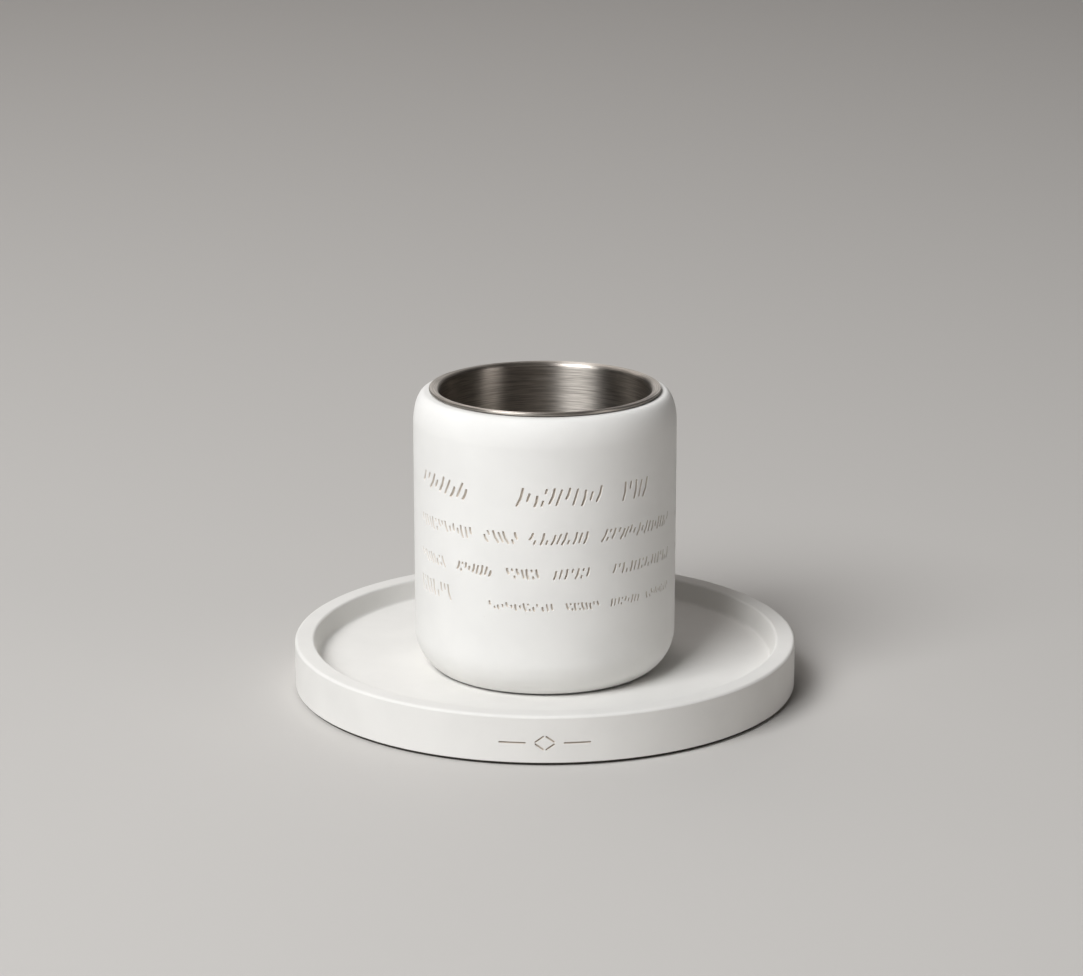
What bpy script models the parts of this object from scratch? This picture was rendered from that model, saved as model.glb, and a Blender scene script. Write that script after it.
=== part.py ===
"""A kiddush cup: a thick cast cup with a steel liner, standing in the well of a round cast tray.

Units are metres and +Z is up. The origin is the middle of the tray's underside, and the front of
the cup, where the incised band starts, faces -Y.
"""
import math
import random
from collections import namedtuple

import bmesh
import bpy
from mathutils import Matrix

MM = 0.001
FULL_TURN = 2 * math.pi
GAP = 0.3 * MM

# Tray
TRAY_RADIUS = 67.5 * MM
TRAY_HEIGHT = 13.2 * MM
TRAY_FLOOR = 5.7 * MM
TRAY_RIM_WIDTH = 5.3 * MM
TRAY_DRAFT = 1.1 * MM
TRAY_FOOT_INSET = 1.0 * MM
TRAY_FOOT_HEIGHT = 0.8 * MM
TRAY_EDGE_ROUND = 0.35 * MM
TRAY_OUTER_ROUND = 0.7 * MM
TRAY_INNER_ROUND = 0.8 * MM
TRAY_WELL_FILLET = 0.9 * MM
TRAY_FLAT_RADIUS = 31.0 * MM
TRAY_FLOOR_SLOPE = 3.8
TRAY_SEGMENTS = 72

# Cast cup
CUP_RADIUS = 35.0 * MM
CUP_BOTTOM = TRAY_FLOOR + GAP
CUP_TOP = 80.8 * MM
CUP_BASE_THICKNESS = 11.3 * MM
SHOULDER_WIDTH = 3.2 * MM
SHOULDER_HEIGHT = 8.5 * MM
BASE_CURVE_WIDTH = 10.5 * MM
BASE_CURVE_HEIGHT = 11.5 * MM
BASE_CURVE_CUT = 1.6 * MM
CUP_SEGMENTS = 64

# Steel liner
LINER_RADIUS = 29.1 * MM
LINER_WALL = 0.8 * MM
LINER_CORNER = 8.0 * MM
LIP_RADIUS = 30.75 * MM
LIP_HEIGHT = 0.75 * MM
LIP_ROUND = 0.25 * MM
LIP_INNER_ROUND = 1.3 * MM
LINER_SEGMENTS = 48

# Incised band: chisel cuts, and the row each belongs to. Turns are degrees from the front.
STROKE_WIDTH = 0.55 * MM
STROKE_DEPTH = 0.35 * MM
STROKE_LIFT = 0.15 * MM
STROKE_RISES = (0.62, 0.85, 1.0)
WORD_LEANS = (-26, -16, 15, 24)
STROKE_LEAN_SPREAD = 5
BACK_START = 78
BACK_END = 282
BACK_FILL = 0.78

Row = namedtuple("Row", "middle height pitch front_words back_words")
ROWS = (
    Row(60.7 * MM, 5.2 * MM, 4.0 * MM, ((-67, -33), (-14, 27), (33, 51)), 3),
    Row(49.7 * MM, 3.4 * MM, 2.7 * MM, ((-68, -31), (-28, -10), (-8, 20), (24, 69)), 6),
    Row(40.2 * MM, 3.0 * MM, 2.6 * MM, ((-68, -47), (-42, -22), (-18, -1), (2, 21), (29, 69)), 6),
    Row(32.3 * MM, 4.3 * MM, 3.2 * MM, ((-69, -43),), 0),
    Row(31.3 * MM, 2.3 * MM, 2.3 * MM, ((-26, 5), (8, 25), (28, 46), (48, 69)), 5),
)

# Ornament on the front of the tray: a lozenge between two tapering dashes
ORNAMENT_HEIGHT = 6.1 * MM
LOZENGE_SIDE = 3.4 * MM
LOZENGE_LEAN = 54
LOZENGE_GAP = 0.5 * MM
DASH_LENGTH = 7.0 * MM
DASH_PLACE = 8.2 * MM

# Finishes: base colour, metallic, roughness
CAST_WHITE = ((0.83, 0.82, 0.80, 1.0), 0.0, 0.75)
TRAY_WHITE = ((0.80, 0.78, 0.74, 1.0), 0.0, 0.75)
BRUSHED_STEEL = ((0.56, 0.53, 0.50, 1.0), 1.0, 0.32)


def clear_scene():
    for old in list(bpy.data.objects):
        bpy.data.objects.remove(old)


def finish(name, values):
    """A Principled BSDF material from base colour, metallic and roughness."""
    colour, metallic, roughness = values
    material = bpy.data.materials.new(name)
    material.use_nodes = True
    shader = material.node_tree.nodes["Principled BSDF"]
    shader.inputs["Base Color"].default_value = colour
    shader.inputs["Metallic"].default_value = metallic
    shader.inputs["Roughness"].default_value = roughness
    return material


def arc(centre, radii, start, end, steps):
    """Profile points along an elliptical arc, angles in degrees above the outward direction."""
    points = []
    for step in range(steps + 1):
        angle = math.radians(start + (end - start) * step / steps)
        points.append((centre[0] + radii[0] * math.cos(angle), centre[1] + radii[1] * math.sin(angle)))
    return points


def corner(radius, height, size, start, end, steps=2):
    """Profile points along a round corner of one size, centred at a radius and a height."""
    return arc((radius, height), (size, size), start, end, steps)


def add_object(name, bm, material):
    mesh = bpy.data.meshes.new(name)
    bm.to_mesh(mesh)
    bm.free()
    mesh.materials.append(material)
    piece = bpy.data.objects.new(name, mesh)
    bpy.context.scene.collection.objects.link(piece)
    return piece


def turned(name, profile, segments, material):
    """A solid turned about Z from a profile that starts and ends on the axis."""
    bm = bmesh.new()
    points = [bm.verts.new((radius, 0, height)) for radius, height in profile]
    edges = [bm.edges.new(pair) for pair in zip(points, points[1:])]
    bmesh.ops.spin(bm, geom=points + edges, axis=(0, 0, 1), cent=(0, 0, 0), angle=FULL_TURN,
                   steps=segments, use_merge=True, use_duplicate=False)
    bmesh.ops.remove_doubles(bm, verts=bm.verts, dist=0.001 * MM)
    bmesh.ops.recalc_face_normals(bm, faces=bm.faces)
    piece = add_object(name, bm, material)
    piece.data.shade_smooth()
    piece.data.set_sharp_from_angle(angle=math.radians(35))
    return piece


def tray_profile():
    """The tray's half section, from its set-in foot out over the rim and down the well's sloping floor."""
    foot_radius = TRAY_RADIUS - TRAY_FOOT_INSET
    edge_middle = TRAY_FOOT_HEIGHT + TRAY_EDGE_ROUND
    well_radius = TRAY_RADIUS - TRAY_RIM_WIDTH
    slope = math.radians(TRAY_FLOOR_SLOPE)
    fillet_radius = well_radius - TRAY_DRAFT - TRAY_WELL_FILLET
    floor_rise = (fillet_radius - TRAY_FLAT_RADIUS) * math.tan(slope)
    fillet_middle = (fillet_radius, TRAY_FLOOR + floor_rise + TRAY_WELL_FILLET / math.cos(slope))
    return [
        (0, 0),
        (foot_radius, 0),
        (foot_radius, TRAY_FOOT_HEIGHT),
        *corner(TRAY_RADIUS - TRAY_EDGE_ROUND, edge_middle, TRAY_EDGE_ROUND, -90, 0),
        *corner(TRAY_RADIUS - TRAY_OUTER_ROUND, TRAY_HEIGHT - TRAY_OUTER_ROUND, TRAY_OUTER_ROUND, 0, 90),
        *corner(well_radius + TRAY_INNER_ROUND, TRAY_HEIGHT - TRAY_INNER_ROUND, TRAY_INNER_ROUND, 90, 180),
        *corner(*fillet_middle, TRAY_WELL_FILLET, 0, TRAY_FLOOR_SLOPE - 90),
        (TRAY_FLAT_RADIUS, TRAY_FLOOR),
        (0, TRAY_FLOOR),
    ]


def cup_profile():
    """The cast cup's half section, from its underside out over the shoulder and down the bore."""
    base_centre = (CUP_RADIUS - BASE_CURVE_WIDTH, CUP_BOTTOM + BASE_CURVE_HEIGHT - BASE_CURVE_CUT)
    base_angle = -math.degrees(math.asin(1 - BASE_CURVE_CUT / BASE_CURVE_HEIGHT))
    shoulder_centre = (CUP_RADIUS - SHOULDER_WIDTH, CUP_TOP - SHOULDER_HEIGHT)
    bore_radius = LINER_RADIUS + GAP
    bore_corner = LINER_CORNER + GAP
    bore_bottom = CUP_BOTTOM + CUP_BASE_THICKNESS
    return [
        (0, CUP_BOTTOM),
        *arc(base_centre, (BASE_CURVE_WIDTH, BASE_CURVE_HEIGHT), base_angle, 0, 5),
        *arc(shoulder_centre, (SHOULDER_WIDTH, SHOULDER_HEIGHT), 0, 90, 5),
        (bore_radius, CUP_TOP),
        *corner(bore_radius - bore_corner, bore_bottom + bore_corner, bore_corner, 0, -90, 4),
        (0, bore_bottom),
    ]


def liner_profile():
    """The liner's half section, up its outer side, over the rolled lip and down its inner side."""
    outside_bottom = CUP_BOTTOM + CUP_BASE_THICKNESS + GAP
    lip_bottom = CUP_TOP + GAP
    lip_top = lip_bottom + LIP_HEIGHT
    throat = LINER_RADIUS - LINER_WALL
    corner_centre = (LINER_RADIUS - LINER_CORNER, outside_bottom + LINER_CORNER)
    inner_corner = LINER_CORNER - LINER_WALL
    return [
        (0, outside_bottom),
        *corner(*corner_centre, LINER_CORNER, -90, 0, 4),
        (LINER_RADIUS, lip_bottom),
        *corner(LIP_RADIUS - LIP_ROUND, lip_bottom + LIP_ROUND, LIP_ROUND, -90, 0),
        *corner(LIP_RADIUS - LIP_ROUND, lip_top - LIP_ROUND, LIP_ROUND, 0, 90),
        *corner(throat + LIP_INNER_ROUND, lip_top - LIP_INNER_ROUND, LIP_INNER_ROUND, 90, 180, 3),
        *corner(*corner_centre, inner_corner, 0, -90, 4),
        (0, outside_bottom + LINER_WALL),
    ]


def chisel(bm, wall_radius, turn, height, length, lean):
    """Adds the V-shaped cutter of one stroke on an upright round wall, with angles in degrees."""
    outer_width = STROKE_WIDTH * (STROKE_DEPTH + STROKE_LIFT) / STROKE_DEPTH
    place = (Matrix.Rotation(math.radians(turn), 4, "Z")
             @ Matrix.Translation((0, -wall_radius, height))
             @ Matrix.Rotation(math.radians(lean), 4, "Y"))
    for vert in bmesh.ops.create_cube(bm, size=1.0)["verts"]:
        if vert.co.y > 0:
            local = (0, STROKE_DEPTH, vert.co.z * (length - STROKE_WIDTH))
        else:
            local = (vert.co.x * outer_width, -STROKE_LIFT, vert.co.z * length)
        vert.co = place @ Matrix.Translation(local).to_translation()


def row_words(row):
    """The stretches of a row that hold strokes, as (start, end) turns in degrees."""
    yield from row.front_words
    for index in range(row.back_words):
        slot = (BACK_END - BACK_START) / row.back_words
        start = BACK_START + slot * index
        yield start, start + slot * BACK_FILL


def band_strokes():
    """Every main stroke of the band: its turn, height, length and lean.

    The strokes of a word all lean the same way and none touches another, so they spell nothing.
    """
    for number, row in enumerate(ROWS):
        chance = random.Random(number)
        for start, end in row_words(row):
            count = round(math.radians(end - start) * CUP_RADIUS / row.pitch)
            word_lean = chance.choice(WORD_LEANS)
            for index in range(count):
                lean = word_lean + chance.choice((-1, 0, 1)) * STROKE_LEAN_SPREAD
                rise = row.height * chance.choice(STROKE_RISES)
                shift = chance.choice((-0.5, 0.5)) * (row.height - rise)
                turn = start + (end - start) * (index + 0.5) / count
                yield turn, row.middle + shift, rise / math.cos(math.radians(lean)), lean


def cut(piece, cutter_name, bm):
    """Cuts the shapes in bm out of a piece."""
    bmesh.ops.remove_doubles(bm, verts=bm.verts, dist=0.001 * MM)
    bmesh.ops.recalc_face_normals(bm, faces=bm.faces)
    cutter = add_object(cutter_name, bm, piece.data.materials[0])
    cutter.hide_render = True
    cutter.display_type = "WIRE"
    modifier = piece.modifiers.new(cutter_name, "BOOLEAN")
    modifier.operation = "DIFFERENCE"
    modifier.solver = "EXACT"
    modifier.object = cutter


def cut_band(cup):
    """Cuts the rows of separate leaning strokes round the cup."""
    bm = bmesh.new()
    for turn, height, length, lean in band_strokes():
        chisel(bm, CUP_RADIUS, turn, height, length, lean)
    cut(cup, "band_cutter", bm)


def cut_ornament(tray):
    """Cuts the plain ornament into the front of the tray."""
    bm = bmesh.new()
    reach = LOZENGE_SIDE / 2
    side_out = reach * math.sin(math.radians(LOZENGE_LEAN))
    side_up = reach * math.cos(math.radians(LOZENGE_LEAN))
    for side in (-1, 1):
        turn = math.degrees(side * side_out / TRAY_RADIUS)
        for end in (-1, 1):
            chisel(bm, TRAY_RADIUS, turn, ORNAMENT_HEIGHT + end * side_up, LOZENGE_SIDE - LOZENGE_GAP,
                   -side * end * LOZENGE_LEAN)
        turn = math.degrees(side * DASH_PLACE / TRAY_RADIUS)
        chisel(bm, TRAY_RADIUS, turn, ORNAMENT_HEIGHT, DASH_LENGTH, 90)
    cut(tray, "ornament_cutter", bm)


def main():
    clear_scene()
    tray = turned("tray", tray_profile(), TRAY_SEGMENTS, finish("tray_white", TRAY_WHITE))
    cup = turned("cup_body", cup_profile(), CUP_SEGMENTS, finish("cast_white", CAST_WHITE))
    turned("steel_liner", liner_profile(), LINER_SEGMENTS, finish("brushed_steel", BRUSHED_STEEL))
    cut_band(cup)
    cut_ornament(tray)


main()
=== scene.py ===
"""Models and finishes a cast kiddush cup with its steel liner, standing in the well of its cast tray.

Units are metres and +Z is up. Turns are degrees from the front of the cup, which faces -Y.
"""
import math
import random
from collections import namedtuple

import bmesh
import bpy
from bpy.props import FloatProperty, FloatVectorProperty, IntProperty, PointerProperty
from mathutils import Euler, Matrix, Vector


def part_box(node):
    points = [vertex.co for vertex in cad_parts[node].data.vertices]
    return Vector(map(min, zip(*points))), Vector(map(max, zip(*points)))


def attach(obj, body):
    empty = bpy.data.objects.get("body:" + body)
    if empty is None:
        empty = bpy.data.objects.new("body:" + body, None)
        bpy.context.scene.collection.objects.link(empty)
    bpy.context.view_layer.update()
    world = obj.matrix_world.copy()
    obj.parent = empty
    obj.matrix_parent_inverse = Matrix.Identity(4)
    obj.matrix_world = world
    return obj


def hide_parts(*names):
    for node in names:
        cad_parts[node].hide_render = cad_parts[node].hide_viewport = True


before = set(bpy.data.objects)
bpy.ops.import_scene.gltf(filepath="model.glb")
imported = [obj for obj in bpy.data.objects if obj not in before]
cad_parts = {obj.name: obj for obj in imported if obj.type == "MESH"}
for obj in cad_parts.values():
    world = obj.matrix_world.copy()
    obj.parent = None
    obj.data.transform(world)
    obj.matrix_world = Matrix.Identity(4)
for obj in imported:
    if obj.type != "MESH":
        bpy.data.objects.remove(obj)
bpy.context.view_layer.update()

bl_info = {
    "name": "Kiddush Cup and Tray",
    "version": (1, 0, 0),
    "blender": (4, 5, 0),
    "location": "3D View > Sidebar > Kiddush Cup",
    "description": "Models and finishes a cast kiddush cup with a steel liner, standing in a cast tray",
    "category": "Object",
}

CUP_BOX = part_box("cup_body")
LINER_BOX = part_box("steel_liner")
TRAY_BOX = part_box("tray")

MM = 0.001
FULL_TURN = 2 * math.pi

# Shapes: the space between pieces that touch, how near two points are one, the steps of a round
# corner, the angle from which an edge is shaded sharp, and the lean of the lozenge's sides.
GAP = 0.3 * MM
MERGE = 0.001 * MM
ROUND_STEPS = 8
SHARP_ANGLE = math.radians(32)
LOZENGE_LEAN = 54

# Finishes: how dark the clouding, the pores and the brushing get, how deep a pore is against the
# grain, and where the painted shade in a cut starts and is full, as shares of the cut's depth.
CLOUD_SHADE = 0.955
PORE_SHADE = 0.35
BRUSH_SHADE = 0.62
PORE_DEPTH = 4.0
PAINTED_SHADE_START = 0.1
PAINTED_SHADE_FULL = 0.5

# The parts of a noise's range that the finishes spread out, and the roughness at their two ends.
NOISE_RANGE = (0.3, 0.7)
BRUSH_RANGE = (0.36, 0.64)
CAST_ROUGHNESS = (0.68, 0.8)
STEEL_ROUGHNESS = (0.3, 0.55)

# Stage: how far the floor lies under the tray, the height that the lights look at, and each light,
# which stands at a turn and an elevation in degrees.
FLOOR_DROP = 0.05 * MM
AIM_HEIGHT = 40 * MM
Light = namedtuple("Light", "turn elevation distance size tint")
KEY = Light(-42, 44.5, 2.2, 1.25, (0.99, 0.995, 1.0))
FILL = Light(60, 10, 3.0, 1.0, (1.0, 0.945, 0.91))
BACK = Light(-150, 50, 3.0, 2.0, (1.0, 0.945, 0.91))
BACK_GLOW = Light(180, 24, 3.0, 2.4, (1.0, 0.968, 0.94))
FRONT_GLOW = Light(12, 40, 3.0, 2.8, (1.0, 0.92, 0.85))

# The band: rows of separate strokes. Every row has its own words at the front, as stretches of
# turn, and most have evenly spread ones round the back.
Row = namedtuple("Row", "middle height pitch width front_words back_words")
ROWS = (
    Row(60.7 * MM, 5.2 * MM, 4.0 * MM, 0.80 * MM, ((-67, -33), (-14, 27), (33, 51)), 3),
    Row(49.7 * MM, 3.4 * MM, 2.7 * MM, 0.72 * MM, ((-68, -31), (-28, -10), (-8, 20), (24, 69)), 6),
    Row(40.2 * MM, 3.0 * MM, 2.6 * MM, 0.70 * MM, ((-68, -47), (-42, -22), (-18, -1), (2, 21), (29, 69)), 6),
    Row(32.3 * MM, 4.3 * MM, 3.2 * MM, 0.72 * MM, ((-69, -43),), 0),
    Row(31.3 * MM, 2.3 * MM, 2.3 * MM, 0.62 * MM, ((-26, 5), (8, 25), (28, 46), (48, 69)), 5),
)

# The turns that the words round the back lie between, and how much of its stretch a word fills.
BACK_START = 78
BACK_END = 282
BACK_FILL = 0.78

# How tall a stroke may be, as a share of its row's height, how a word's strokes may lean and how
# far one may differ from that, in degrees, and how far a stroke bows out, as a share of its length.
STROKE_RISES = (0.62, 0.85, 1.0)
WORD_LEANS = (-26, -16, 15, 24)
STROKE_LEAN_SPREAD = 5
STROKE_BOW = 0.05

# What may stand between two strokes of a word, with how often it does. Each cut has its level and
# its rise as shares of the row's height, and its width is a share of the row's.
MARK_SEED = 40
MARK_WIDTH = 0.9
Cut = namedtuple("Cut", "level rise")
MARKS = (
    ((Cut(0.0, 0.92),), 5),
    ((Cut(0.27, 0.44),), 2),
    ((Cut(-0.27, 0.44),), 2),
    ((Cut(0.32, 0.32), Cut(-0.30, 0.36)), 3),
    ((Cut(0.0, 0.50),), 2),
)

# The gouge that cuts a stroke, in half widths of the stroke: how deep each layer lies below the
# wall, and how far out it reaches.
Layer = namedtuple("Layer", "depth reach")
GOUGE_LAYERS = (Layer(-0.40, 1.30), Layer(0.12, 0.94), Layer(1.15, 0.52), Layer(1.65, 0.20))
GOUGE_SIDES = 16
Stroke = namedtuple("Stroke", "turn height length lean bow width")


def length(name, description, default):
    """A length in metres."""
    return FloatProperty(name=name, description=description, default=default, min=0.0, unit="LENGTH",
                         precision=5)


def angle(name, description, degrees):
    """An angle, given in degrees."""
    return FloatProperty(name=name, description=description, default=math.radians(degrees), subtype="ANGLE")


def power(name, description, default):
    """The power of a light in watts."""
    return FloatProperty(name=name, description=description, default=default, min=0.0, unit="POWER")


def colour(name, description, default):
    """A colour in linear red, green and blue."""
    return FloatVectorProperty(name=name, description=description, default=default, size=3, min=0.0,
                               max=1.0, subtype="COLOR")


class CupSettings(bpy.types.PropertyGroup):
    """Sizes and colours of the cast cup"""
    radius: length("Radius", "Outer radius of the upright wall", CUP_BOX[1].x)
    bottom: length("Bottom", "Height of the underside", CUP_BOX[0].z)
    top: length("Top", "Height of the shoulder's top", CUP_BOX[1].z)
    base_thickness: length("Base Thickness", "Material under the liner", 11.3 * MM)
    shoulder_width: length("Shoulder Width", "How far in the rounded shoulder reaches", 3.2 * MM)
    shoulder_height: length("Shoulder Height", "How far down the rounded shoulder reaches", 8.5 * MM)
    base_width: length("Base Curve Width", "Half width of the base's elliptical curve", 10.5 * MM)
    base_height: length("Base Curve Height", "Half height of the base's elliptical curve", 11.5 * MM)
    base_cut: length("Base Curve Cut", "How much the flat underside takes off the curve", 1.6 * MM)
    foot_round: length("Foot Round", "Rounding where the base curve meets the underside", 0.1 * MM)
    bore_round: length("Bore Round", "Rounding of the bore's upper edge", 0.3 * MM)
    segments: IntProperty(name="Segments", description="Faces round the cup", default=256, min=32)
    finish: colour("Cast White", "Colour of the cast surface", (0.85, 0.845, 0.825))
    # The incised colour is painted shade, laid deep in the strokes and a little in the pores.
    painted_cut_shade: colour("Incised Painted_Shade", "Colour at the bottom of the strokes", (0.66, 0.61, 0.55))
    # The cup is coloured near-black below a given height above its underside.
    bottom_band_height: length("Pad Height", "Height of the dark pad at the underside", 0.2 * MM)
    pad: colour("Bottom_Band", "Colour of the dark pad", (0.05, 0.045, 0.04))


class LinerSettings(bpy.types.PropertyGroup):
    """Sizes and colour of the steel liner"""
    radius: length("Radius", "Outer radius of the wall", 29.1 * MM)
    wall: length("Wall", "Thickness of the steel", 0.8 * MM)
    corner: length("Corner", "Outer radius of the bottom corner", 8.0 * MM)
    lip_radius: length("Lip Radius", "Outer radius of the lip", LINER_BOX[1].x)
    bottom: length("Bottom", "Height of the liner's underside", LINER_BOX[0].z)
    top: length("Top", "Height of the lip", LINER_BOX[1].z)
    lip_height: length("Lip Height", "Thickness of the lip at its outer edge", 0.75 * MM)
    lip_round: length("Lip Round", "Rounding of the lip's outer edges", 0.25 * MM)
    lip_roll: length("Lip Roll", "Radius of the roll from the lip down into the bowl", 1.3 * MM)
    ring_inset: length("Ring Inset", "Distance of the turned ring from the lip's edge", 0.62 * MM)
    ring_width: length("Ring Width", "Half width of the turned ring", 0.16 * MM)
    ring_depth: length("Ring Depth", "Depth of the turned ring", 0.05 * MM)
    segments: IntProperty(name="Segments", description="Faces round the liner", default=256, min=32)
    steel: colour("Steel", "Colour of the brushed steel", (0.54, 0.50, 0.455))


class TraySettings(bpy.types.PropertyGroup):
    """Sizes and colours of the cast tray"""
    radius: length("Radius", "Outer radius", TRAY_BOX[1].x)
    height: length("Height", "Height of the rim", TRAY_BOX[1].z)
    floor: length("Well Floor", "Height of the well's floor", CUP_BOX[0].z - GAP)
    rim_width: length("Rim Width", "Width of the rim", 5.3 * MM)
    draft: length("Draft", "How far the well narrows down to its fillet", 1.1 * MM)
    foot_inset: length("Foot Inset", "How far the foot stands in under the edge", 1.0 * MM)
    foot_height: length("Foot Height", "Height of the foot under the edge", 0.8 * MM)
    edge_round: length("Edge Round", "Rounding of the outer bottom edge", 0.35 * MM)
    outer_round: length("Outer Round", "Rounding of the rim's outer edge", 0.9 * MM)
    inner_round: length("Inner Round", "Rounding of the rim's inner edge", 0.8 * MM)
    well_fillet: length("Well Fillet", "Fillet between the well's wall and floor", 0.9 * MM)
    flat_radius: length("Flat Radius", "Radius of the well's flat middle, under the cup", 31.0 * MM)
    floor_slope: angle("Floor Slope", "Slope of the well's floor outside its flat middle", 3.8)
    ornament_height: length("Ornament Height", "Height of the ornament's middle", 6.1 * MM)
    lozenge_side: length("Lozenge Side", "Length of the lozenge's sides", 3.4 * MM)
    lozenge_gap: length("Lozenge Gap", "Material left between the lozenge's sides", 0.5 * MM)
    dash_length: length("Dash Length", "Length of the dashes beside the lozenge", 7.0 * MM)
    dash_place: length("Dash Place", "Distance of the dashes from the middle", 8.2 * MM)
    cut_width: length("Cut Width", "Width of the ornament's cuts at the surface", 0.55 * MM)
    segments: IntProperty(name="Segments", description="Faces round the tray", default=256, min=32)
    finish: colour("Cast Warm White", "Colour of the cast surface", (0.812, 0.802, 0.777))
    # The incised colour is painted shade, laid deep in the ornament's cuts and a little in the pores.
    painted_cut_shade: colour("Incised Painted_Shade", "Colour at the bottom of the ornament", (0.52, 0.46, 0.40))
    # The tray's foot and underside are coloured near-black.
    pad: colour("Bottom_Band", "Colour of the dark foot", (0.05, 0.045, 0.04))


class StageSettings(bpy.types.PropertyGroup):
    """Camera, floor and lights"""
    camera_place: FloatVectorProperty(name="Camera Place", description="Where the camera stands",
                                      default=(0.00027, -0.7777, 0.2644), size=3, subtype="TRANSLATION",
                                      precision=5)
    camera_pitch: angle("Camera Pitch", "How far the camera looks down", 15.145)
    camera_yaw: angle("Camera Yaw", "How far the camera turns to its left", 0.088)
    camera_lens: FloatProperty(name="Lens", description="Focal length in millimetres", default=100.22,
                               unit="CAMERA")
    floor_radius: length("Floor Radius", "Radius of the plain floor", 1.9)
    floor_finish: colour("Floor", "Colour of the plain floor", (0.58, 0.565, 0.545))
    surround: colour("Surround", "Colour of the light from all around", (1.0, 0.945, 0.90))
    backdrop: colour("Backdrop", "Colour that shows beyond the floor", (0.46, 0.445, 0.425))
    surround_strength: FloatProperty(name="Surround Strength", default=0.03, min=0.0,
                                     description="Strength of the light from all around")
    key_power: power("Key Power", "Power of the main light, front left", 54.5)
    fill_power: power("Fill Power", "Power of the weak light, front right", 9.6)
    back_power: power("Back Power", "Power of the weak light, back left", 17.0)
    back_glow_power: power("Back Glow Power", "Power of the low light behind that only gloss shows", 14.5)
    front_glow_power: power("Front Glow Power", "Power of the high light in front that only gloss shows", 5.5)


def arc(centre, radii, start, end, steps=2 * ROUND_STEPS):
    """Profile points along an elliptical arc, angles in degrees above the outward direction."""
    points = []
    for step in range(steps + 1):
        turn = math.radians(start + (end - start) * step / steps)
        points.append((centre[0] + radii[0] * math.cos(turn), centre[1] + radii[1] * math.sin(turn)))
    return points


def corner(radius, height, size, start, end, steps=ROUND_STEPS):
    """Profile points along a round corner of one size, centred at a radius and a height."""
    return arc((radius, height), (size, size), start, end, steps)


def held(profile):
    """The profile with a point close to both ends of every long straight, which keeps its shading even."""
    near = 0.5 * MM
    points = [Vector(profile[0])]
    for start, end in zip(map(Vector, profile), map(Vector, profile[1:])):
        along = (end - start).normalized() * near
        if (end - start).length > 6 * near:
            points += [start + along, end - along]
        points.append(end)
    return points


def turned(profile, segments):
    """A closed bmesh turned about Z from a profile that starts and ends on the axis."""
    bm = bmesh.new()
    points = [bm.verts.new((radius, 0, height)) for radius, height in held(profile)]
    edges = [bm.edges.new(pair) for pair in zip(points, points[1:])]
    bmesh.ops.spin(bm, geom=points + edges, axis=(0, 0, 1), cent=(0, 0, 0), angle=FULL_TURN,
                   steps=segments, use_merge=True, use_duplicate=False)
    bmesh.ops.remove_doubles(bm, verts=bm.verts, dist=MERGE)
    bmesh.ops.recalc_face_normals(bm, faces=bm.faces)
    return bm


def round_ring(bm, radius, height, size):
    """Rounds the ring of edges that lies at a radius and a height."""
    def on_ring(vert):
        return abs(math.hypot(vert.co.x, vert.co.y) - radius) < MERGE and abs(vert.co.z - height) < MERGE

    ring = [edge for edge in bm.edges if all(on_ring(vert) for vert in edge.verts)]
    if not ring:
        raise RuntimeError(f"no edges at radius {radius} and height {height}")
    bmesh.ops.bevel(bm, geom=ring, offset=size, offset_type="OFFSET", segments=4, profile=0.5,
                    affect="EDGES", material=-1)


def add_piece(name, bm, material, node):
    """Makes a bmesh a piece that stands for a node, with the given material, and hides the node's part."""
    mesh = bpy.data.meshes.new(name)
    bm.to_mesh(mesh)
    bm.free()
    mesh.materials.append(material)
    piece = bpy.data.objects.new(name, mesh)
    bpy.context.scene.collection.objects.link(piece)
    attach(piece, "root")
    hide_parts(node)
    return piece


def shade(mesh):
    """Smooths a mesh, apart from its sharp edges."""
    mesh.shade_smooth()
    mesh.set_sharp_from_angle(angle=SHARP_ANGLE)


def gouge_template():
    """One round cutter of unit radius, its layers stacked a unit apart down -Z."""
    bm = bmesh.new()
    bmesh.ops.create_circle(bm, segments=GOUGE_SIDES, radius=1.0)
    ring = bm.edges[:]
    for _ in GOUGE_LAYERS[1:]:
        grown = bmesh.ops.extrude_edge_only(bm, edges=ring)["geom"]
        ring = [part for part in grown if isinstance(part, bmesh.types.BMEdge)]
        lower = [part for part in grown if isinstance(part, bmesh.types.BMVert)]
        bmesh.ops.translate(bm, vec=(0, 0, -1), verts=lower)
    bmesh.ops.holes_fill(bm, edges=bm.edges, sides=GOUGE_SIDES)
    mesh = bpy.data.meshes.new("gouge")
    bm.to_mesh(mesh)
    bm.free()
    return mesh


def press_gouge(bm, gouge, wall_radius, stroke):
    """Adds a copy of the gouge, stretched along a stroke and wrapped round the upright wall."""
    first = len(bm.verts)
    bm.from_mesh(gouge)
    bm.verts.ensure_lookup_table()
    half_width = stroke.width / 2
    stretch = stroke.length / 2 - half_width
    lean = math.radians(stroke.lean)
    # The two ends move apart by the stretch, and the points between them bow out to one side.
    for vert in bm.verts[first:]:
        layer = GOUGE_LAYERS[round(-vert.co.z)]
        side = 0 if abs(vert.co.y) < 0.01 else math.copysign(1, vert.co.y)
        along = half_width * layer.reach * vert.co.y + stretch * side
        across = half_width * layer.reach * vert.co.x + stroke.bow * stroke.length * (1 - side * side)
        turn = math.radians(stroke.turn) + (across * math.cos(lean) + along * math.sin(lean)) / wall_radius
        radius = wall_radius - half_width * layer.depth
        vert.co = (radius * math.sin(turn), -radius * math.cos(turn),
                   stroke.height + along * math.cos(lean) - across * math.sin(lean))


def row_words(row):
    """The stretches of a row that hold strokes, as (start, end) turns in degrees."""
    yield from row.front_words
    for index in range(row.back_words):
        stretch = (BACK_END - BACK_START) / row.back_words
        start = BACK_START + stretch * index
        yield start, start + stretch * BACK_FILL


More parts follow.
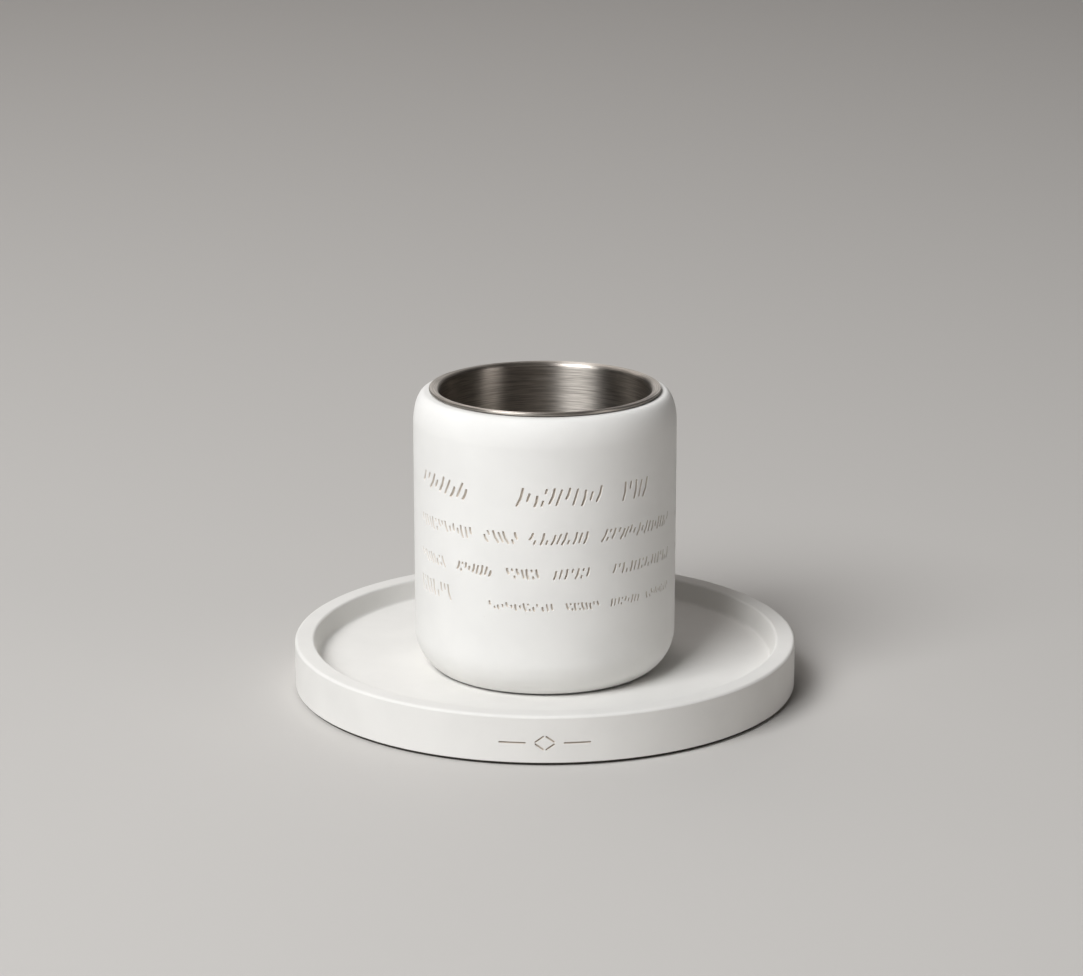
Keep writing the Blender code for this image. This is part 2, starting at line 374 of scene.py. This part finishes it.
def word_strokes(wall_radius):
    """The main strokes of every word of the band, with the row that the word is in.

    The strokes of a word all lean the same way and none touches another, so they spell nothing.
    """
    for number, row in enumerate(ROWS):
        chance = random.Random(number)
        for start, end in row_words(row):
            count = round(math.radians(end - start) * wall_radius / row.pitch)
            word_lean = chance.choice(WORD_LEANS)
            strokes = []
            for index in range(count):
                lean = word_lean + chance.choice((-1, 0, 1)) * STROKE_LEAN_SPREAD
                rise = row.height * chance.choice(STROKE_RISES)
                height = row.middle + chance.choice((-0.5, 0.5)) * (row.height - rise)
                turn = start + (end - start) * (index + 0.5) / count
                reach = rise / math.cos(math.radians(lean))
                bow = math.copysign(STROKE_BOW, word_lean)
                strokes.append(Stroke(turn, height, reach, lean, bow, row.width))
            yield row, strokes


def side_at(stroke, height, wall_radius):
    """How far round the wall a stroke's line passes at a height."""
    lean = math.radians(stroke.lean)
    return math.radians(stroke.turn) * wall_radius + (height - stroke.height) * math.tan(lean)


def marks_between(row, strokes, wall_radius, chance):
    """The thinner strokes that lie clear between a word's main strokes and lean as they do."""
    kinds, weights = zip(*MARKS)
    width = row.width * MARK_WIDTH
    for left, right in zip(strokes, strokes[1:]):
        for cut in chance.choices(kinds, weights)[0]:
            height = row.middle + row.height * cut.level
            before = side_at(left, height, wall_radius)
            after = side_at(right, height, wall_radius)
            turn = math.degrees((before + after) / 2 / wall_radius)
            yield Stroke(turn, height, row.height * cut.rise, (left.lean + right.lean) / 2, 0, width)


def band_strokes(wall_radius):
    """Every stroke of the band, word by word."""
    chance = random.Random(MARK_SEED)
    for row, strokes in word_strokes(wall_radius):
        yield from strokes
        yield from marks_between(row, strokes, wall_radius, chance)


def ornament_strokes(tray):
    """A plain lozenge between two dashes, for the front edge of the tray."""
    side_out = tray.lozenge_side / 2 * math.sin(math.radians(LOZENGE_LEAN))
    side_up = tray.lozenge_side / 2 * math.cos(math.radians(LOZENGE_LEAN))
    for side in (-1, 1):
        for end in (-1, 1):
            yield Stroke(math.degrees(side * side_out / tray.radius), tray.ornament_height + end * side_up,
                         tray.lozenge_side - tray.lozenge_gap, -side * end * LOZENGE_LEAN, 0, tray.cut_width)
        yield Stroke(math.degrees(side * tray.dash_place / tray.radius), tray.ornament_height,
                     tray.dash_length, 90, 0, tray.cut_width)


def cut_strokes(piece, strokes, wall_radius, wall_low, wall_high):
    """Cuts strokes into the upright wall of a piece, and keeps the wall's shading round them."""
    gouge = gouge_template()
    bm = bmesh.new()
    for stroke in strokes:
        press_gouge(bm, gouge, wall_radius, stroke)
    bmesh.ops.triangulate(bm, faces=bm.faces)
    bmesh.ops.recalc_face_normals(bm, faces=bm.faces)
    mesh = bpy.data.meshes.new("stroke_cutter")
    bm.to_mesh(mesh)
    bm.free()
    cutter = bpy.data.objects.new("stroke_cutter", mesh)
    bpy.context.scene.collection.objects.link(cutter)
    modifier = piece.modifiers.new("strokes", "BOOLEAN")
    modifier.operation = "DIFFERENCE"
    modifier.solver = "EXACT"
    modifier.object = cutter
    finished = bpy.data.meshes.new_from_object(piece.evaluated_get(bpy.context.evaluated_depsgraph_get()))
    piece.modifiers.clear()
    if len(finished.vertices) <= len(piece.data.vertices):
        raise RuntimeError(f"the strokes cut nothing out of {piece.name}")
    piece.data = finished
    bpy.data.objects.remove(cutter)
    shade(finished)
    keep_wall_normals(finished, wall_radius, wall_low, wall_high)


def keep_wall_normals(mesh, wall_radius, wall_low, wall_high):
    """Points the normals on an upright round wall straight out, also where cuts break its faces up."""
    near = 0.02 * MM
    normals = [Vector(loop_normal.vector) for loop_normal in mesh.corner_normals]
    for face in mesh.polygons:
        is_cut = (wall_low < face.center.z < wall_high
                  and math.hypot(face.center.x, face.center.y) < wall_radius - near
                  and any(math.hypot(*mesh.vertices[index].co.xy) < wall_radius - near
                          for index in face.vertices))
        if is_cut:
            continue
        for loop in face.loop_indices:
            place = mesh.vertices[mesh.loops[loop].vertex_index].co
            if math.hypot(place.x, place.y) > wall_radius - near:
                normals[loop] = Vector((place.x, place.y, 0)).normalized()
    mesh.normals_split_custom_set(normals)


def add_node(tree, kind, inputs=None, **settings):
    """A node of a kind with its settings, and with a value or another node's socket on each input."""
    made = tree.nodes.new(kind)
    made.location.x = 200 * len(tree.nodes)
    for key, value in settings.items():
        setattr(made, key, value)
    for key, value in (inputs or {}).items():
        if isinstance(value, bpy.types.NodeSocket):
            tree.links.new(value, made.inputs[key])
        else:
            made.inputs[key].default_value = value
    return made


def maths(tree, operation, *values):
    """The outcome of a maths operation on one or two values."""
    return add_node(tree, "ShaderNodeMath", dict(enumerate(values)), operation=operation).outputs[0]


def remap(tree, value, low, high, new_low=0.0, new_high=1.0):
    """A value moved linearly from one range to another, and held inside it."""
    return add_node(tree, "ShaderNodeMapRange", {"Value": value, "From Min": low, "From Max": high,
                                                 "To Min": new_low, "To Max": new_high}).outputs["Result"]


def new_group(name, inputs, outputs):
    """A shader node group with named number sockets: the group, its input node and its output node."""
    group = bpy.data.node_groups.new(name, "ShaderNodeTree")
    for label, default in inputs.items():
        socket = group.interface.new_socket(label, in_out="INPUT", socket_type="NodeSocketFloat")
        socket.default_value = default
    for label in outputs:
        group.interface.new_socket(label, in_out="OUTPUT", socket_type="NodeSocketFloat")
    return group, add_node(group, "NodeGroupInput"), add_node(group, "NodeGroupOutput")


def place_on_piece(tree):
    """The point's place on the piece: its vector and its X, Y and Z."""
    place = add_node(tree, "ShaderNodeTexCoord").outputs["Object"]
    parts = add_node(tree, "ShaderNodeSeparateXYZ", {"Vector": place})
    return place, parts.outputs["X"], parts.outputs["Y"], parts.outputs["Z"]


def distance_from_axis(tree, x, y):
    """How far a point lies from the piece's upright axis."""
    return maths(tree, "SQRT", maths(tree, "ADD", maths(tree, "MULTIPLY", x, x),
                                     maths(tree, "MULTIPLY", y, y)))


def cast_grain_group():
    """Fine grain, soft clouding and a few small pores of a cast surface."""
    group, given, out = new_group("Cast Grain", {"Grain Size": 0.4 * MM, "Cloud Size": 14.0 * MM,
                                                 "Pore Spacing": 5.0 * MM, "Pore Size": 0.16 * MM},
                                  ("Cloud", "Grain", "Pore", "Height"))
    place = place_on_piece(group)[0]
    grain = add_node(group, "ShaderNodeTexNoise", {
        "Vector": place, "Scale": maths(group, "DIVIDE", 1.0, given.outputs["Grain Size"]),
        "Detail": 3.0, "Roughness": 0.6}).outputs["Fac"]
    cloud = add_node(group, "ShaderNodeTexNoise", {
        "Vector": place, "Scale": maths(group, "DIVIDE", 1.0, given.outputs["Cloud Size"]),
        "Detail": 3.0, "Roughness": 0.5}).outputs["Fac"]
    cells = add_node(group, "ShaderNodeTexVoronoi", {
        "Vector": place, "Scale": maths(group, "DIVIDE", 1.0, given.outputs["Pore Spacing"])})
    away = maths(group, "MULTIPLY", cells.outputs["Distance"], given.outputs["Pore Spacing"])
    pore = remap(group, away, maths(group, "MULTIPLY", given.outputs["Pore Size"], 0.5),
                 given.outputs["Pore Size"], 1.0, 0.0)
    height = maths(group, "SUBTRACT", grain, maths(group, "MULTIPLY", pore, PORE_DEPTH))
    for label, value in (("Cloud", cloud), ("Grain", grain), ("Pore", pore), ("Height", height)):
        group.links.new(value, out.inputs[label])
    return group


def incised_depth_group():
    """How deep a point lies in a cut of an upright round wall, from 0 near the wall to 1 deep down."""
    group, given, out = new_group("Incised Depth", {"Wall Radius": 0.035, "Cut Depth": 0.40 * MM,
                                                    "Wall Low": 0.0, "Wall High": 0.1}, ("Mask",))
    _, x, y, z = place_on_piece(group)
    depth = maths(group, "SUBTRACT", given.outputs["Wall Radius"], distance_from_axis(group, x, y))
    on_wall = maths(group, "LESS_THAN", depth, maths(group, "MULTIPLY", given.outputs["Cut Depth"], 2.0))
    above = maths(group, "GREATER_THAN", z, given.outputs["Wall Low"])
    below = maths(group, "LESS_THAN", z, given.outputs["Wall High"])
    # The mask lays painted shade, which starts at one share of the cut's depth and is full at another.
    mask = remap(group, depth, maths(group, "MULTIPLY", given.outputs["Cut Depth"], PAINTED_SHADE_START),
                 maths(group, "MULTIPLY", given.outputs["Cut Depth"], PAINTED_SHADE_FULL))
    for limit in (on_wall, above, below):
        mask = maths(group, "MULTIPLY", mask, limit)
    group.links.new(mask, out.inputs["Mask"])
    return group


def turned_brushing_group():
    """Fine lines that run round the axis, on upright, level and rounded surfaces alike."""
    group, given, out = new_group("Turned Brushing", {"Line Width": 0.28 * MM, "Line Turn": 3.5},
                                  ("Lines", "Fine Lines"))
    _, x, y, z = place_on_piece(group)
    radius = distance_from_axis(group, x, y)
    around_x = maths(group, "MULTIPLY", maths(group, "DIVIDE", x, radius), given.outputs["Line Turn"])
    around_y = maths(group, "MULTIPLY", maths(group, "DIVIDE", y, radius), given.outputs["Line Turn"])
    across = maths(group, "DIVIDE", maths(group, "ADD", z, radius), given.outputs["Line Width"])
    for label, finer in (("Lines", 1.0), ("Fine Lines", 3.1)):
        place = add_node(group, "ShaderNodeCombineXYZ", {
            "X": around_x, "Y": around_y, "Z": maths(group, "MULTIPLY", across, finer)}).outputs[0]
        lines = add_node(group, "ShaderNodeTexNoise", {"Vector": place, "Scale": 1.0, "Detail": 2.0})
        group.links.new(lines.outputs["Fac"], out.inputs[label])
    return group


def effect(name, build):
    """A shared node group, built once."""
    return bpy.data.node_groups.get(name) or build()


def new_material(name):
    """A new material: its node tree and its Principled BSDF."""
    material = bpy.data.materials.new(name)
    material.use_nodes = True
    tree = material.node_tree
    shader = tree.nodes["Principled BSDF"]
    shader.location = (2800, 0)
    tree.nodes["Material Output"].location = (3200, 0)
    return material, tree, shader


def mix_colours(tree, factor, first, second):
    """Two colours mixed by a factor; each is a socket or a plain colour."""
    mixed = add_node(tree, "ShaderNodeMix", data_type="RGBA")
    for socket, value in ((mixed.inputs[0], factor), (mixed.inputs[6], first), (mixed.inputs[7], second)):
        if isinstance(value, bpy.types.NodeSocket):
            tree.links.new(value, socket)
        else:
            socket.default_value = value
    return mixed.outputs[2]


def cast_material(name, settings, wall_low, wall_high, bottom_band_top):
    """Fine cast white with soft clouding, grain and pores, painted shade in its cuts, and a near-black
    bottom.
    """
    base = (*settings.finish, 1.0)
    shade_tone = (*(channel * CLOUD_SHADE for channel in settings.finish), 1.0)
    painted_cut_shade = (*settings.painted_cut_shade, 1.0)
    pad = (*settings.pad, 1.0)
    material, tree, shader = new_material(name)
    grain = add_node(tree, "ShaderNodeGroup", node_tree=effect("Cast Grain", cast_grain_group))
    depth = add_node(tree, "ShaderNodeGroup", node_tree=effect("Incised Depth", incised_depth_group))
    depth.inputs["Wall Radius"].default_value = settings.radius
    depth.inputs["Wall Low"].default_value = wall_low
    depth.inputs["Wall High"].default_value = wall_high
    clouded = mix_colours(tree, remap(tree, grain.outputs["Cloud"], *NOISE_RANGE), shade_tone, base)
    pores = maths(tree, "MULTIPLY", grain.outputs["Pore"], PORE_SHADE)
    # Painted shade: the pores darken a little towards the incised colour, and the cuts darken fully with
    # depth.
    with_cut_shade = mix_colours(tree, depth.outputs["Mask"], mix_colours(tree, pores, clouded, painted_cut_shade), painted_cut_shade)
    # The piece is coloured near-black below a given height at its bottom.
    on_bottom_band = maths(tree, "LESS_THAN", place_on_piece(tree)[3], bottom_band_top)
    roughness = remap(tree, grain.outputs["Grain"], *NOISE_RANGE, *CAST_ROUGHNESS)
    tree.links.new(mix_colours(tree, on_bottom_band, with_cut_shade, pad), shader.inputs["Base Color"])
    tree.links.new(roughness, shader.inputs["Roughness"])
    bump = add_node(tree, "ShaderNodeBump", {"Strength": 0.35, "Distance": 0.02 * MM,
                                             "Height": grain.outputs["Height"]})
    tree.links.new(bump.outputs["Normal"], shader.inputs["Normal"])
    shader.inputs["Specular IOR Level"].default_value = 0.35
    return material


def steel_material(name, steel):
    """Stainless steel, brushed round the axis."""
    material, tree, shader = new_material(name)
    brushing = add_node(tree, "ShaderNodeGroup", node_tree=effect("Turned Brushing", turned_brushing_group))
    lines = remap(tree, brushing.outputs["Lines"], *BRUSH_RANGE)
    dark = (*(channel * BRUSH_SHADE for channel in steel), 1.0)
    roughness = remap(tree, brushing.outputs["Fine Lines"], *NOISE_RANGE, *STEEL_ROUGHNESS)
    tree.links.new(mix_colours(tree, lines, dark, (*steel, 1.0)), shader.inputs["Base Color"])
    tree.links.new(roughness, shader.inputs["Roughness"])
    bump = add_node(tree, "ShaderNodeBump", {"Strength": 0.6, "Distance": 0.01 * MM,
                                             "Height": brushing.outputs["Lines"]})
    tree.links.new(bump.outputs["Normal"], shader.inputs["Normal"])
    tree.links.new(add_node(tree, "ShaderNodeTangent", direction_type="RADIAL", axis="Z").outputs["Tangent"],
                   shader.inputs["Tangent"])
    shader.inputs["Metallic"].default_value = 1.0
    shader.inputs["Anisotropic"].default_value = 0.93
    shader.inputs["Anisotropic Rotation"].default_value = 0.25
    return material


class KIDDUSH_OT_cast_cup(bpy.types.Operator):
    """Turn the cast cup, cut its band of strokes and give it its cast finish"""
    bl_idname = "kiddush.cast_cup"
    bl_label = "Cast Cup"

    def execute(self, context):
        cup = context.scene.kiddush_cup
        liner = context.scene.kiddush_liner
        base_middle = cup.bottom + cup.base_height - cup.base_cut
        base_angle = -math.degrees(math.asin(1 - cup.base_cut / cup.base_height))
        shoulder_middle = cup.top - cup.shoulder_height
        base = arc((cup.radius - cup.base_width, base_middle), (cup.base_width, cup.base_height),
                   base_angle, 0)
        bore_radius = liner.radius + GAP
        bore_corner = liner.corner + GAP
        bore_bottom = cup.bottom + cup.base_thickness
        bm = turned([
            (0, cup.bottom),
            *base,
            *arc((cup.radius - cup.shoulder_width, shoulder_middle),
                 (cup.shoulder_width, cup.shoulder_height), 0, 90),
            (bore_radius, cup.top),
            *corner(bore_radius - bore_corner, bore_bottom + bore_corner, bore_corner, 0, -90),
            (0, bore_bottom),
        ], cup.segments)
        round_ring(bm, base[0][0], cup.bottom, cup.foot_round)
        round_ring(bm, bore_radius, cup.top, cup.bore_round)
        material = cast_material("cast_white", cup, base_middle, shoulder_middle, cup.bottom + cup.bottom_band_height)
        piece = add_piece("cast_cup", bm, material, "cup_body")
        cut_strokes(piece, band_strokes(cup.radius), cup.radius, base_middle, shoulder_middle)
        return {"FINISHED"}


class KIDDUSH_OT_steel_liner(bpy.types.Operator):
    """Turn the steel liner with its rolled lip and give it its brushed finish"""
    bl_idname = "kiddush.steel_liner"
    bl_label = "Steel Liner"

    def execute(self, context):
        liner = context.scene.kiddush_liner
        throat = liner.radius - liner.wall
        edge = liner.lip_radius - liner.lip_round
        ring = liner.lip_radius - liner.ring_inset
        corner_middle = (liner.radius - liner.corner, liner.bottom + liner.corner)
        lip_bottom = liner.top - liner.lip_height
        bm = turned([
            (0, liner.bottom),
            *corner(*corner_middle, liner.corner, -90, 0),
            (liner.radius, lip_bottom),
            *corner(edge, lip_bottom + liner.lip_round, liner.lip_round, -90, 0, 4),
            *corner(edge, liner.top - liner.lip_round, liner.lip_round, 0, 90, 4),
            (ring + liner.ring_width, liner.top),
            (ring, liner.top - liner.ring_depth),
            (ring - liner.ring_width, liner.top),
            *corner(throat + liner.lip_roll, liner.top - liner.lip_roll, liner.lip_roll, 90, 180),
            *corner(*corner_middle, liner.corner - liner.wall, 0, -90),
            (0, liner.bottom + liner.wall),
        ], liner.segments)
        piece = add_piece("cup_liner", bm, steel_material("brushed_steel", liner.steel), "steel_liner")
        shade(piece.data)
        return {"FINISHED"}


class KIDDUSH_OT_cast_tray(bpy.types.Operator):
    """Turn the cast tray, cut the ornament into its front edge and give it its cast finish"""
    bl_idname = "kiddush.cast_tray"
    bl_label = "Cast Tray"

    def execute(self, context):
        tray = context.scene.kiddush_tray
        edge_middle = tray.foot_height + tray.edge_round
        well_radius = tray.radius - tray.rim_width
        wall_high = tray.height - tray.outer_round
        inner_middle = tray.height - tray.inner_round
        fillet_radius = well_radius - tray.draft - tray.well_fillet
        floor_rise = (fillet_radius - tray.flat_radius) * math.tan(tray.floor_slope)
        fillet_middle = tray.floor + floor_rise + tray.well_fillet / math.cos(tray.floor_slope)
        lean = math.degrees(math.atan2(tray.draft, inner_middle - fillet_middle))
        slope = math.degrees(tray.floor_slope)
        bm = turned([
            (0, 0),
            (tray.radius - tray.foot_inset, 0),
            (tray.radius - tray.foot_inset, tray.foot_height),
            *corner(tray.radius - tray.edge_round, edge_middle, tray.edge_round, -90, 0),
            *corner(tray.radius - tray.outer_round, wall_high, tray.outer_round, 0, 90),
            *corner(well_radius + tray.inner_round, inner_middle, tray.inner_round, 90, 180 - lean),
            *corner(fillet_radius, fillet_middle, tray.well_fillet, -lean, slope - 90),
            (tray.flat_radius, tray.floor),
            (0, tray.floor),
        ], tray.segments)
        material = cast_material("tray_white", tray, edge_middle, wall_high, tray.foot_height - MERGE)
        piece = add_piece("cast_tray", bm, material, "tray")
        cut_strokes(piece, ornament_strokes(tray), tray.radius, edge_middle, wall_high)
        return {"FINISHED"}


def add_softbox(name, place, energy):
    """A square area light of a power, which looks at the cup from its place."""
    light = bpy.data.lights.new(name, "AREA")
    light.size = place.size
    light.energy = energy
    light.color = place.tint
    softbox = bpy.data.objects.new(name, light)
    turn = math.radians(place.turn)
    elevation = math.radians(place.elevation)
    away = Vector((math.sin(turn) * math.cos(elevation), -math.cos(turn) * math.cos(elevation),
                   math.sin(elevation)))
    softbox.location = Vector((0, 0, AIM_HEIGHT)) + away * place.distance
    softbox.rotation_euler = away.to_track_quat("Z", "Y").to_euler()
    softbox.visible_camera = False
    bpy.context.scene.collection.objects.link(softbox)
    return softbox


class KIDDUSH_OT_stage(bpy.types.Operator):
    """Lay the plain floor and set up the soft light and the camera"""
    bl_idname = "kiddush.stage"
    bl_label = "Stage"

    def execute(self, context):
        scene = context.scene
        stage = scene.kiddush_stage
        bm = bmesh.new()
        bmesh.ops.create_circle(bm, cap_ends=True, segments=64, radius=stage.floor_radius)
        mesh = bpy.data.meshes.new("studio_floor")
        bm.to_mesh(mesh)
        bm.free()
        material, _, shader = new_material("studio_floor")
        shader.inputs["Base Color"].default_value = (*stage.floor_finish, 1.0)
        shader.inputs["Roughness"].default_value = 0.8
        mesh.materials.append(material)
        floor = bpy.data.objects.new("studio_floor", mesh)
        floor.location.z = -FLOOR_DROP
        scene.collection.objects.link(floor)

        scene.world = bpy.data.worlds.new("studio")
        scene.world.use_nodes = True
        tree = scene.world.node_tree
        surround = tree.nodes["Background"]
        surround.inputs["Color"].default_value = (*stage.surround, 1.0)
        surround.inputs["Strength"].default_value = stage.surround_strength
        backdrop = add_node(tree, "ShaderNodeBackground", {"Color": (*stage.backdrop, 1.0)})
        seen = add_node(tree, "ShaderNodeLightPath").outputs["Is Camera Ray"]
        shown = add_node(tree, "ShaderNodeMixShader", {0: seen, 1: surround.outputs[0],
                                                       2: backdrop.outputs[0]})
        tree.links.new(shown.outputs[0], tree.nodes["World Output"].inputs["Surface"])
        add_softbox("key_light", KEY, stage.key_power)
        add_softbox("fill_light", FILL, stage.fill_power)
        add_softbox("back_light", BACK, stage.back_power)
        back_glow = add_softbox("back_glow", BACK_GLOW, stage.back_glow_power)
        front_glow = add_softbox("front_glow", FRONT_GLOW, stage.front_glow_power)
        back_glow.visible_diffuse = False
        front_glow.visible_diffuse = False
        scene.view_settings.view_transform = "Standard"

        camera = bpy.data.objects.new("camera", bpy.data.cameras.new("camera"))
        camera.data.lens = stage.camera_lens
        camera.location = stage.camera_place
        camera.rotation_euler = Euler((math.pi / 2 - stage.camera_pitch, 0, stage.camera_yaw))
        scene.collection.objects.link(camera)
        scene.camera = camera
        return {"FINISHED"}


class KIDDUSH_PT_panel(bpy.types.Panel):
    """Lists the steps and settings of the cup and its tray"""
    bl_idname = "KIDDUSH_PT_panel"
    bl_label = "Kiddush Cup"
    bl_space_type = "VIEW_3D"
    bl_region_type = "UI"
    bl_category = "Kiddush Cup"

    def draw(self, context):
        for operator, name in STEPS:
            box = self.layout.box()
            box.operator(operator.bl_idname)
            settings = getattr(context.scene, name)
            for key in settings.__annotations__:
                box.prop(settings, key)


SETTINGS = {
    "kiddush_cup": CupSettings,
    "kiddush_liner": LinerSettings,
    "kiddush_tray": TraySettings,
    "kiddush_stage": StageSettings,
}
STEPS = (
    (KIDDUSH_OT_stage, "kiddush_stage"),
    (KIDDUSH_OT_cast_tray, "kiddush_tray"),
    (KIDDUSH_OT_cast_cup, "kiddush_cup"),
    (KIDDUSH_OT_steel_liner, "kiddush_liner"),
)
CLASSES = (*SETTINGS.values(), *(operator for operator, _ in STEPS), KIDDUSH_PT_panel)


def register():
    for cls in CLASSES:
        bpy.utils.register_class(cls)
    for name, cls in SETTINGS.items():
        setattr(bpy.types.Scene, name, PointerProperty(type=cls))


def unregister():
    for name in SETTINGS:
        delattr(bpy.types.Scene, name)
    for cls in reversed(CLASSES):
        bpy.utils.unregister_class(cls)


def main():
    """Runs every step in order."""
    register()
    bpy.ops.kiddush.stage()
    bpy.ops.kiddush.cast_tray()
    bpy.ops.kiddush.cast_cup()
    bpy.ops.kiddush.steel_liner()


if __name__ == "__main__":
    main()
